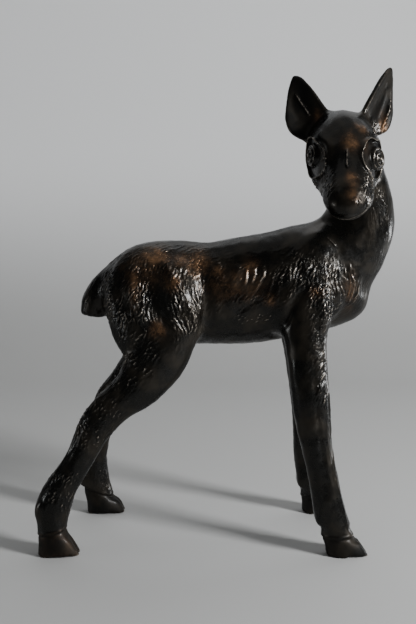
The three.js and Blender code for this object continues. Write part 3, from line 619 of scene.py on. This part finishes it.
# Long low ridges down the fore and hind shanks: pixels, half width and height in millimetres.
LEG_RIDGES = (
    (((327, 345), (329, 400), (331.5, 440), (336, 478), (343, 508), (349, 530)), 1.5, 1.1),
    (((83, 408), (76, 435), (66, 455), (52, 478)), 1.4, 0.5),
)
for pixels, wide, tall in LEG_RIDGES:
    draw_both_sides(pixels, wide, tall, far=1, taper=0.1)

# Single chased strokes that stand out on the breast, shoulder, thigh, neck and foreleg, in pixels.
STROKES = (
    ((355, 281), (352, 292), (347, 305)), ((351, 282), (349, 292), (345, 301)),
    ((358, 284), (356, 294), (352, 304)), ((341, 285), (344, 297)), ((338, 288), (341, 298)),
    ((282, 288), (286, 277)), ((287, 285), (291, 272)), ((292, 281), (295, 270)),
    ((301, 283), (307, 262)), ((304, 278), (309, 266)), ((298, 285), (302, 272)),
    ((181, 296), (185, 310)), ((186, 300), (191, 315)), ((190, 306), (195, 322)),
    ((177, 300), (181, 314)), ((184, 316), (190, 327)), ((192, 318), (197, 330)),
    ((118, 297), (114, 308)), ((123, 301), (118, 314)), ((127, 308), (122, 322)),
    ((138, 300), (135, 312)), ((143, 306), (139, 318)), ((148, 312), (144, 324)),
    ((325, 235), (331, 241), (337, 247.5)),
    ((325, 350), (315, 364)), ((327, 358), (316, 374)), ((328, 367), (319, 384)),
    ((326, 379), (319, 396)), ((322, 382), (316, 399)), ((329, 388), (323, 405)),
)
for pixels in STROKES:
    draw_both_sides(pixels, 1.0, 0.85, far=0.6, taper=0.3)

# The face's own lines: the bridge, the lower lid, and the edges inside the ears.
FACE_LINES = (
    (((347, 147), (347, 158), (347, 169)), 1.1, 1.7),
    (((363, 160), (367, 168), (372, 175)), 1.3, 0.5),
    (((295, 93), (300, 101), (305.5, 109), (310.6, 117.4)), 0.9, 1.2),
    (((390.5, 99), (388, 113), (381.5, 130)), 1.3, 1.4),
    (((389, 82), (385, 102), (377, 124)), 4.5, -2.0),
    (((291, 92), (293, 108), (302, 124)), 5.0, -1.6),
    (((368, 190), (368.5, 197), (367, 203)), 1.0, -0.8),
)
for pixels, wide, tall in FACE_LINES:
    draw_line(cast_line(pixels), wide * MM, tall * MM, 0.2)

NOSTRIL = ((4.5, 74, 4), (7.5, 73, 4.5), (9, 70, 2.5))  # across, forward and up
for side in (1, -1):
    nostril = np.array([on_face(side * across, forward, up) for across, forward, up in NOSTRIL])
    draw_line(nostril, 1.2 * MM, -1.1 * MM, 0.2)

# Rough little marks of the chasing tool: a line in pixels, how far they stray from it, how many.
SPECKLES = (
    (((295, 93), (300, 101), (305.5, 109), (310.6, 117.4)), 0.9, 30),
    (((390.5, 97), (388.5, 113), (383, 128)), 1.0, 26),
    (((321, 146), (325, 154), (326, 164), (323, 176)), 1.5, 34),
    (((369, 121), (373, 126), (377, 131)), 2.0, 24),
    (((363, 177), (367, 184), (369, 191), (370, 198)), 3.2, 44),
    (((354, 198), (358, 201), (361, 205)), 2.4, 11),
    (((324, 180), (328, 188), (331, 196)), 2.0, 26),
    (((120, 360), (106, 378)), 3.0, 24),
    (((84, 410), (83, 432)), 2.6, 24),
    (((101, 426), (97, 446)), 3.0, 22),
    (((102, 472), (106, 490)), 2.2, 22),
    (((316, 284), (324, 298), (328, 318)), 4.0, 46),
    (((180, 300), (188, 316), (196, 330)), 4.0, 34),
    (((108, 284), (110, 300)), 3.0, 24),
)
SPECKLE_WIDE = (0.6, 1.0)
SPECKLE_HEIGHTS = (0.55, -0.45)
speckle_rng = np.random.default_rng(11)
for pixels, stray, amount in SPECKLES:
    route = np.array(pixels, float)
    for share in speckle_rng.random(amount) * (len(route) - 1):
        start = int(share)
        pixel = route[start] + (share - start) * (route[start + 1] - route[start])
        mark = cast(*(pixel + speckle_rng.normal(0, stray, 2)))
        wide = speckle_rng.uniform(*SPECKLE_WIDE) * MM
        tall = speckle_rng.choice(SPECKLE_HEIGHTS) * MM
        if mark is not None:
            close = np.where((np.abs(skin.at - mark) < 3 * wide).all(1))[0]
            push[close] += tall * bump(np.linalg.norm(skin.at[close] - mark, axis=1), wide)

# The hand-made unevenness of the surface.
WAVES = 28
WAVE_HEIGHT = 0.026 * MM
for _ in range(WAVES):
    wave = unit(rng.normal(size=3)) * rng.uniform(320, 760)
    push += WAVE_HEIGHT * np.sin(skin.at @ wave + rng.uniform(0, 6.3)) * (1 - 0.8 * thin)
skin.at += push[:, None] * facing


# Chased fur. Regions lie in the side view (x, z) and count on both sides; the far side is plainer.
# Each is a pixel, its half width and half height in pixels, and how deep, dense and long its fur is.
REGIONS = (
    ((107, 295), (9, 26), 1.0, 1.0, 6),
    ((121, 310), (9, 22), 1.0, 1.0, 7),
    ((140, 310), (14, 30), 1.1, 1.0, 7),
    ((185, 310), (15, 32), 1.3, 1.0, 8),
    ((160, 262), (40, 16), 0.55, 0.8, 7),
    ((205, 265), (20, 14), 0.5, 0.7, 7),
    ((138, 360), (18, 18), 0.8, 0.8, 7),
    ((215, 295), (24, 26), 0.3, 0.4, 6),
    ((250, 290), (26, 30), 0.5, 0.5, 6),
    ((255, 318), (14, 5), 1.0, 0.9, 3),
    ((290, 276), (14, 18), 1.3, 1.0, 7),
    ((306, 272), (9, 15), 1.2, 1.0, 8),
    ((322, 292), (12, 28), 1.3, 1.0, 6),
    ((334, 274), (11, 12), 0.8, 0.8, 7),
    ((348, 292), (14, 18), 0.9, 0.6, 10),
    ((320, 350), (12, 46), 0.55, 0.8, 6),
    ((105, 400), (14, 34), 0.6, 0.7, 6),
    ((60, 490), (16, 22), 0.9, 0.8, 5),
    ((100, 480), (12, 22), 0.6, 0.7, 5),
    ((330, 440), (14, 60), 0.3, 0.5, 6),
    ((380, 240), (14, 34), 0.25, 0.5, 11),
    ((380, 206), (7, 14), 0.7, 1.0, 4),
    ((370, 188), (12, 16), 1.4, 1.0, 4),
    ((90, 298), (7, 22), 0.6, 0.9, 7),
    ((82, 425), (8, 26), 0.8, 0.9, 4),
    ((118, 378), (16, 24), 0.9, 1.0, 5),
    ((104, 432), (9, 24), 0.6, 0.8, 4),
    ((375, 134), (10, 12), 0.9, 1.0, 4),
    ((325, 182), (10, 14), 0.9, 1.0, 4),
    ((383, 122), (8, 16), 0.6, 0.8, 4),
)
# How the fur lies: arrows in pixels, from root to tip.
FLOW = (
    ((96, 280), (88, 300)), ((88, 300), (84, 314)), ((110, 275), (102, 285)),
    ((108, 295), (103, 302)), ((120, 300), (112, 318)),
    ((145, 300), (138, 318)), ((135, 270), (128, 284)), ((165, 262), (158, 276)),
    ((180, 300), (190, 322)), ((170, 320), (182, 338)), ((200, 262), (192, 274)),
    ((150, 350), (138, 362)), ((130, 370), (118, 384)), ((105, 400), (95, 415)),
    ((225, 270), (214, 280)), ((250, 285), (240, 296)), ((262, 315), (250, 322)),
    ((292, 266), (282, 284)), ((308, 260), (300, 282)), ((325, 280), (316, 300)),
    ((345, 285), (352, 303)), ((355, 262), (350, 284)), ((340, 310), (330, 322)),
    ((322, 335), (312, 352)), ((328, 376), (316, 394)), ((322, 430), (326, 450)),
    ((330, 480), (336, 500)), ((75, 440), (66, 458)), ((52, 490), (46, 505)),
    ((385, 225), (384, 250)), ((372, 210), (374, 235)), ((365, 245), (362, 268)),
    ((280, 240), (262, 246)), ((240, 246), (222, 250)), ((180, 248), (162, 254)),
    ((110, 262), (100, 272)), ((230, 335), (215, 338)), ((150, 380), (140, 390)),
)
FUR_SPACING = 3.5 * MM
FUR_DEPTH = 0.9 * MM
FUR_LIMIT = 1.1 * MM  # where strokes cross, they add up to this at most
FUR_TURN = 0.27  # how far a stroke strays from the lie of the fur, in radians
FUR_BEND = 0.09  # how far its ends bend aside, as a share of half its length
FAR_SIDE = 0.55  # how much of the fur the far side has
FAR_FADE = 15 * MM  # from the middle plane to where the far side counts in full


def far_share(points):
    return ramp(points[:, 1], MIDDLE_Y, MIDDLE_Y + FAR_FADE)


def side_blobs():
    blobs = []
    for (px, py), (wide, tall), deep, dense, long in REGIONS:
        p = cast(px, py)
        if p is None:
            raise ValueError(f"no skin at {px}, {py}")
        size = pixel_size(p)
        blobs.append((p[0], p[2], wide * size, tall * size, deep, dense, long * MM))
    return blobs


fur_blobs = side_blobs()


def fur_at(points):
    """Depth, density and length of the fur, weighed over the regions."""
    total = np.full(len(points), 1e-6)
    deep = np.zeros(len(points))
    dense = np.zeros(len(points))
    long = np.zeros(len(points))
    for x, z, wide, tall, depth, density, length in fur_blobs:
        w = np.exp(-(((points[:, 0] - x) / wide) ** 2 + ((points[:, 2] - z) / tall) ** 2))
        total += w
        deep += w * depth
        dense += w * density
        long += w * length
    reach = np.clip(total * 1.5, 0, 1)
    return reach * deep / total, reach * dense / total, long / total


def bare_share(points):
    """1 where the cast is smooth: ears, hooves, eyes, the bridge of the nose and its tip."""
    bare = np.maximum(ear_share(points), hoof_share(points))
    for side in (1, -1):
        bare = np.maximum(bare, ramp(np.linalg.norm(points - eye_places[side], axis=1), 26 * MM, 21 * MM))
    d = points - FACE_PLACE
    head = (np.linalg.norm(d, axis=1) < 80 * MM) & (points[:, 1] < 10 * MM)
    aside = np.abs(d @ sideways)
    strip = ramp(aside, 13 * MM, 9 * MM)
    tip = ramp(d @ ahead, 62 * MM, 68 * MM) * ramp(aside, 15 * MM, 11 * MM)
    return np.maximum(bare, head * np.maximum(strip, tip))


def flow_guides():
    starts, ways = [], []
    for a, b in FLOW:
        p, q = cast(*a), cast(*b)
        if p is None or q is None:
            continue
        way = unit(q - p)
        starts += [p, mirrored(p)]
        ways += [way, way * np.array([1, -1, 1])]
    return np.array(starts), np.array(ways)


guide_places, guide_ways = flow_guides()


def fur_way(points, normals):
    out = np.empty_like(points)
    for i in range(0, len(points), 4000):
        d = np.linalg.norm(points[i : i + 4000, None] - guide_places[None], axis=2)
        out[i : i + 4000] = (1 / (d + 4 * MM) ** 3) @ guide_ways
    out -= (out * normals).sum(1, keepdims=True) * normals
    return unit(out + 1e-9)


def scatter(candidates, spacing):
    """Picks points no nearer to each other than spacing, in the order given."""
    cells = {}
    kept = []
    cell = spacing / math.sqrt(3)
    keys = np.floor(candidates / cell).astype(int)
    for i, (key, p) in enumerate(zip(map(tuple, keys), candidates)):
        if key in cells:
            continue
        x, y, z = key
        crowded = False
        for dx in (-1, 0, 1):
            for dy in (-1, 0, 1):
                for dz in (-1, 0, 1):
                    other = cells.get((x + dx, y + dy, z + dz))
                    if other is not None and np.dot(p - other, p - other) < spacing**2:
                        crowded = True
        if not crowded:
            cells[key] = p
            kept.append(i)
    return np.array(kept)


def patches(points):
    """Soft random patches, from thin fur to full fur."""
    total = np.zeros(len(points))
    for _ in range(10):
        wave = unit(rng.normal(size=3)) * rng.uniform(250, 600)
        total += np.sin(points @ wave + rng.uniform(0, 6.3))
    return ramp(total, -3.0, 2.0)


def chase_fur():
    """Cuts the strokes one by one along the lie of the fur, and says how many."""
    normals = skin.normals()
    soft = unit(skin.spread(normals, 6))
    deep, dense, long = fur_at(skin.at)
    keep = (1 - bare_share(skin.at)) * (1 - (1 - FAR_SIDE) * far_share(skin.at)) * patches(skin.at)
    order = rng.permutation(skin.count)
    order = order[rng.random(skin.count) < (dense * keep)[order]]
    seeds = order[scatter(skin.at[order], FUR_SPACING)]
    way = fur_way(skin.at[seeds], soft[seeds])
    tree = KDTree(skin.count)
    for i, p in enumerate(skin.at):
        tree.insert(p, i)
    tree.balance()
    relief = np.zeros(skin.count)
    for k, seed in enumerate(seeds):
        n, w = soft[seed], way[k]
        turn = rng.normal(0, FUR_TURN)
        w = w * math.cos(turn) + np.cross(n, w) * math.sin(turn)
        half = 0.5 * long[seed] * rng.uniform(0.65, 1.35)
        wide = rng.uniform(0.8, 1.15) * MM
        bend = rng.normal(0, FUR_BEND) / half
        found = tree.find_range(skin.at[seed], half + 2 * MM)
        near = np.array([f[1] for f in found])
        d = skin.at[near] - skin.at[seed]
        along = d @ w
        across = d @ np.cross(n, w) - bend * along**2
        s = np.clip(along / half, -1, 1)
        ends = (1 - s**2) * (1 - 0.35 * s)
        cut = bump(across, 0.7 * wide) - 0.6 * bump(across - 1.3 * wide, 0.7 * wide)
        depth = FUR_DEPTH * deep[seed] * keep[seed] * rng.uniform(0.6, 1.25)
        lies_here = (soft[near] @ n) > 0.3
        relief[near] += depth * cut * ends * lies_here
    skin.at += np.clip(relief, -FUR_LIMIT, FUR_LIMIT)[:, None] * normals
    return len(seeds)


print("fur strokes", chase_fur())

# Flat soles.
SOLE = 0.5 * MM
skin.at[:, 2] = np.where(skin.at[:, 2] < SOLE, 0, skin.at[:, 2])
skin.at[:, 2] = np.clip(skin.at[:, 2], 0, cad_box[1][2])
skin.write()

fawn = link(bpy.data.objects.new("fawn_cast", skin.mesh))
thinner = fawn.modifiers.new("thinner", "DECIMATE")
skin.mesh.calc_loop_triangles()
thinner.ratio = min(1, TRIANGLE_LIMIT / len(skin.mesh.loop_triangles))
final = evaluated(fawn, "fawn_cast")
fawn.modifiers.clear()
fawn.data = final
final.shade_smooth()
print("triangles", sum(len(p.vertices) - 2 for p in final.polygons))

# What the patina needs to know, kept on the mesh's points.
SHARP_RADIUS = 2.4 * MM  # an edge this tight counts as fully sharp
LEANS = 4  # stroke directions that the fine relief blends between
RUB_GAIN = 1.25
HOOF_RUB = 0.045  # the near hind hoof is faintly brown
# Rubbed places: a pixel, half width and half height in pixels, and how far the patina is gone.
RUBS = (
    ((155, 258), (12, 8), 0.9), ((181, 260), (6, 5), 0.7), ((198, 264), (9, 10), 0.8),
    ((218, 272), (6, 6), 0.6), ((135, 282), (5, 20), 0.7), ((174, 283), (7, 7), 0.7),
    ((158, 330), (7, 7), 0.6), ((250, 266), (7, 6), 0.7), ((270, 300), (5, 5), 0.5),
    ((316, 292), (6, 5), 0.6), ((350, 292), (6, 14), 0.3), ((147, 268), (20, 14), 0.4),
    ((235, 285), (26, 14), 0.3),
)
FACE_RUBS = (
    ((351.5, 141), (6, 10), 1.1), ((352, 179), (4.5, 11), 1.1), ((318, 116), (4, 5), 0.8),
    ((383, 124), (3.5, 9), 0.5), ((362, 128), (6, 6), 0.5), ((352, 194), (5, 8), 0.5),
    ((366, 147), (4, 6), 0.4),
)


def write_attribute(name, values):
    layer = final.attributes.new(name, "FLOAT", "POINT")
    layer.data.foreach_set("value", np.asarray(values, np.float32))


def sharpness(done, normals):
    """How tightly the skin turns over an edge, and below 0 into a hollow."""
    rise = -(done.pull(done.at) * normals).sum(1)
    squares = ((done.at[done.a] - done.at[done.b]) ** 2).sum(1)
    mean_square = done.gather(squares, squares) / done.degree
    return done.spread((2 * rise / mean_square)[:, None], 1)[:, 0] * SHARP_RADIUS


def rub_share(p):
    """How far the patina is rubbed away. Rubs on the body count on both sides, by the side view."""
    rub = np.zeros(len(p))
    far = 1 - 0.5 * far_share(p)
    for pixel, (wide, tall), strength in RUBS:
        c = cast(*pixel)
        size = pixel_size(c)
        q = ((p[:, 0] - c[0]) / (wide * size)) ** 2 + ((p[:, 2] - c[2]) / (tall * size)) ** 2
        rub = np.maximum(rub, strength * np.exp(-q) * far)
    for pixel, (wide, tall), strength in FACE_RUBS:
        c = cast(*pixel)
        if c is None:
            continue
        size = pixel_size(c)
        d = p - c
        q = (d[:, 0] ** 2 + d[:, 1] ** 2) / (wide * size) ** 2 + (d[:, 2] / (tall * size)) ** 2
        rub = np.maximum(rub, strength * np.exp(-q))
    near_hind = np.hypot(p[:, 0] - HOOVES[0][0] * MM, p[:, 1] - HOOVES[0][1] * MM) < HOOF_REACH
    return np.maximum(rub, HOOF_RUB * hoof_share(p) * near_hind)


def mark_patina():
    done = Skin(final)
    p = done.at
    normals = done.normals()
    write_attribute("ridge", np.clip(sharpness(done, normals), -1, 1))
    write_attribute("rub", np.clip(RUB_GAIN * rub_share(p), 0, 1))
    way = fur_way(p, normals)
    lean = np.arctan2(way[:, 2], way[:, 0])
    for k in range(LEANS):
        write_attribute(f"lean_{k}", np.maximum(0, np.cos(2 * (lean - math.pi * k / LEANS))) ** 2)
    # Ears and hooves are matt; this mask also darkens the ears as painted shade and the hooves to a
    # darker tone.
    write_attribute("matt_and_ear_shade", np.maximum(ear_share(p), 0.7 * hoof_share(p)))
    deep, dense, _ = fur_at(p)
    write_attribute("fur", np.clip(deep * dense * (1 - bare_share(p)), 0, 1))


mark_patina()

# Bronze: near-black patina under gloss lacquer, copper brown where it is rubbed.
PATINA = (0.0088, 0.0086, 0.0076, 1)
PATINA_WARM = (0.0235, 0.0195, 0.0145, 1)
COPPER = (0.33, 0.175, 0.085, 1)
WORN_EDGE = (0.24, 0.21, 0.175, 1)
# Darkest patina, for the hollows and the hooves; on the ears it is painted shade.
HOLLOW_PATINA_AND_SHADE = (0.003, 0.0027, 0.0022, 1)
LACQUERED_METAL = {
    "Metallic": 0.75,
    "Specular Tint": (0.55, 0.55, 0.55, 1),
    "Specular IOR Level": 0.5,
    "Coat Roughness": 0.2,
    "Coat IOR": 1.5,
}
RIPPLE = {"Distance": 0.0005, "Strength": 0.8}
CHISEL_SCALE = 520
CHISEL_STRETCH = (0.26, 1, 1)


class Graph:
    """The shader nodes of one material, made and joined by short calls."""

    def __init__(self, name):
        self.material = bpy.data.materials.new(name)
        self.material.use_nodes = True
        self.tree = self.material.node_tree
        self.shader = self.tree.nodes["Principled BSDF"]

    def node(self, kind, **values):
        made = self.tree.nodes.new(kind)
        for name, value in values.items():
            setattr(made, name, value)
        return made

    def feed(self, node, inputs):
        """Sets the node's inputs, each to a value or to another node's output."""
        for name, value in inputs.items():
            if isinstance(value, bpy.types.NodeSocket):
                self.tree.links.new(value, node.inputs[name])
            else:
                node.inputs[name].default_value = value
        return node

    def place(self):
        return self.node("ShaderNodeTexCoord").outputs["Object"]

    def attribute(self, name):
        return self.node("ShaderNodeAttribute", attribute_name=name).outputs["Fac"]

    def math(self, operation, a, b):
        made = self.node("ShaderNodeMath", operation=operation, use_clamp=True)
        return self.feed(made, {0: a, 1: b}).outputs[0]

    def noise(self, place, scale, detail, roughness=0.55):
        inputs = {"Vector": place, "Scale": scale, "Detail": detail, "Roughness": roughness}
        return self.feed(self.node("ShaderNodeTexNoise"), inputs).outputs["Fac"]

    def between(self, value, low, high, to_low, to_high):
        """Carries the value smoothly from one range to another, and no further."""
        made = self.node("ShaderNodeMapRange", interpolation_type="SMOOTHSTEP")
        ends = {"From Min": low, "From Max": high, "To Min": to_low, "To Max": to_high}
        return self.feed(made, {"Value": value, **ends}).outputs["Result"]

    def mix(self, share, a, b):
        """Colour a, and colour b as far as the share goes. Inputs 6 and 7 are the colours."""
        made = self.node("ShaderNodeMix", data_type="RGBA")
        return self.feed(made, {"Factor": share, 6: a, 7: b}).outputs[2]


def chisel_marks(graph, place):
    """Fine chisel marks along the fur: one noise for each lean, stretched along it."""
    marks = 0
    for k in range(LEANS):
        turned = graph.node("ShaderNodeVectorRotate", rotation_type="Y_AXIS")
        graph.feed(turned, {"Vector": place, "Angle": math.pi * k / LEANS})
        drawn = graph.node("ShaderNodeVectorMath", operation="MULTIPLY")
        graph.feed(drawn, {0: turned.outputs[0], 1: CHISEL_STRETCH})
        strand = graph.noise(drawn.outputs[0], CHISEL_SCALE, 1.5, 0.5)
        mark = graph.between(strand, 0.50, 0.62, 0, 1)
        marks = graph.math("ADD", marks, graph.math("MULTIPLY", mark, graph.attribute(f"lean_{k}")))
    return marks


def bronze():
    graph = Graph("bronze")
    place = graph.place()
    ridge, rub, fur, matt_and_ear_shade = (graph.attribute(name) for name in ("ridge", "rub", "fur", "matt_and_ear_shade"))
    cloud = graph.noise(place, 45, 4)
    grain = graph.noise(place, 420, 3)
    marks = chisel_marks(graph, place)

    # Copper shows in blotches where a rub meets raised skin, and less between the strokes of fur.
    worn = graph.math("MULTIPLY", rub, graph.between(ridge, -0.4, 0.4, 0.2, 1))
    blotch = graph.between(graph.noise(place, 120, 5, 0.65), 0.38, 0.62, 0.25, 1)
    worn = graph.math("MULTIPLY", worn, blotch)
    struck = graph.math("MAXIMUM", marks, graph.math("SUBTRACT", 1, fur))
    worn = graph.math("MULTIPLY", worn, graph.math("ADD", struck, 0.25))

    # Hollows keep a darker patina, hooves are a darker matt tone, the ears are darkened as painted shade,
    # and sharp edges are worn pale.
    colour = graph.mix(graph.between(cloud, 0.4, 0.68, 0, 1), PATINA, PATINA_WARM)
    colour = graph.mix(graph.between(ridge, -0.2, -0.9, 0, 0.9), colour, HOLLOW_PATINA_AND_SHADE)
    # Painted shade darkens the ears here, and the hooves take their darker tone.
    colour = graph.mix(graph.between(matt_and_ear_shade, 0, 1, 0, 0.35), colour, HOLLOW_PATINA_AND_SHADE)
    colour = graph.mix(graph.between(ridge, 0.35, 1.0, 0, 0.8), colour, WORN_EDGE)
    colour = graph.mix(worn, colour, COPPER)

    rough = graph.between(cloud, 0.3, 0.75, 0.23, 0.36)
    rough = graph.math("ADD", rough, graph.math("MULTIPLY", graph.between(grain, 0.45, 0.7, 0, 1), 0.08))
    rough = graph.math("ADD", rough, graph.math("MULTIPLY", matt_and_ear_shade, 0.3))
    gloss = graph.between(matt_and_ear_shade, 0, 1, 0.2, 0.02)

    height = graph.math("ADD", graph.math("MULTIPLY", grain, 0.15), graph.math("MULTIPLY", marks, fur))
    ripple = graph.feed(graph.node("ShaderNodeBump"), {**RIPPLE, "Height": height})
    graph.feed(graph.shader, LACQUERED_METAL)
    graph.feed(graph.shader, {"Base Color": colour, "Roughness": rough, "Coat Weight": gloss})
    graph.feed(graph.shader, {"Normal": ripple.outputs["Normal"]})
    return graph.material


final.materials.clear()
final.materials.append(bronze())
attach(fawn, "root")
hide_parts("fawn")


# Floor, backdrop, lights and camera.
FLOOR_COLOUR = (0.42, 0.42, 0.41, 1)
FLOOR_ROUGHNESS = 0.7
BACKDROP_COLOUR = (0.95, 0.97, 1, 1)
BACKDROP_GLOW = 0.37


def pale_sweep():
    """Matt floor, whose backdrop glows softly like a lit cloth."""
    graph = Graph("floor")
    place = graph.feed(graph.node("ShaderNodeSeparateXYZ"), {0: graph.place()})
    glow = graph.between(place.outputs["Z"], 0.02, 0.5, 0, BACKDROP_GLOW)
    graph.feed(graph.shader, {"Base Color": FLOOR_COLOUR, "Roughness": FLOOR_ROUGHNESS})
    graph.feed(graph.shader, {"Emission Color": BACKDROP_COLOUR, "Emission Strength": glow})
    return graph.material


def sweep():
    """A pale floor that turns up into a backdrop in one smooth curve."""
    depth, height, radius, half = 1.3, 2.4, 0.5, 3.0
    profile = [(-2.0, 0.0)]
    for i in range(13):
        turn = math.pi / 2 * i / 12
        profile.append((depth - radius + radius * math.sin(turn), radius - radius * math.cos(turn)))
    profile.append((depth, height))
    points = [(s * half, y, z) for y, z in profile for s in (-1, 1)]
    faces = [(2 * i, 2 * i + 1, 2 * i + 3, 2 * i + 2) for i in range(len(profile) - 1)]
    data = bpy.data.meshes.new("floor")
    data.from_pydata(points, [], faces)
    data.shade_smooth()
    data.materials.append(pale_sweep())
    return link(bpy.data.objects.new("floor", data))


sweep()


# Each light's name, place, aim, width and height, power in watts, and colour.
LIGHTS = (
    ("window_right", (1.15, -0.72, 0.80), (0.05, 0, 0.25), (0.30, 0.42), 36, (0.97, 0.98, 1)),
    ("window_behind", (1.5, 0.7, 0.12), (0.1, 0, 0.10), (0.3, 0.25), 6, (0.96, 0.98, 1)),
    ("window_left", (-1.5, -0.3, 0.20), (-0.1, 0, 0.22), (0.2, 0.3), 2.6, (0.95, 0.98, 1)),
    ("high_behind", (0.3, 0.95, 1.7), (0.05, 0.1, 0.1), (1.8, 0.9), 6.5, (0.96, 0.98, 1)),
    ("overhead", (0, 0.08, 1.65), (0, 0.08, 0), (1.7, 1.0), 2.2, (1, 0.99, 0.97)),
)
ROOM_COLOUR = (0.80, 0.82, 0.85, 1)
ROOM_GLOW = 0.07
SENSOR = 36


def soft_light(name, place, target, size, power, colour):
    lamp = bpy.data.lights.new(name, "AREA")
    lamp.shape = "RECTANGLE"
    lamp.size, lamp.size_y = size
    lamp.energy = power
    lamp.color = colour
    obj = link(bpy.data.objects.new(name, lamp))
    obj.location = place
    obj.rotation_euler = (Vector(target) - Vector(place)).to_track_quat("-Z", "Y").to_euler()


for light in LIGHTS:
    soft_light(*light)

world = bpy.data.worlds.new("room")
world.use_nodes = True
world.node_tree.nodes["Background"].inputs["Color"].default_value = ROOM_COLOUR
world.node_tree.nodes["Background"].inputs["Strength"].default_value = ROOM_GLOW
bpy.context.scene.world = world

lens = bpy.data.cameras.new("camera")
lens.sensor_fit = "VERTICAL"
lens.sensor_height = SENSOR
lens.lens = SENSOR * FOCAL_PIXELS / PHOTO_HEIGHT
camera = link(bpy.data.objects.new("camera", lens))
camera.location = CAMERA_PLACE
camera.rotation_euler = (math.pi / 2 - CAMERA_TILT, 0, 0)
bpy.context.scene.camera = camera
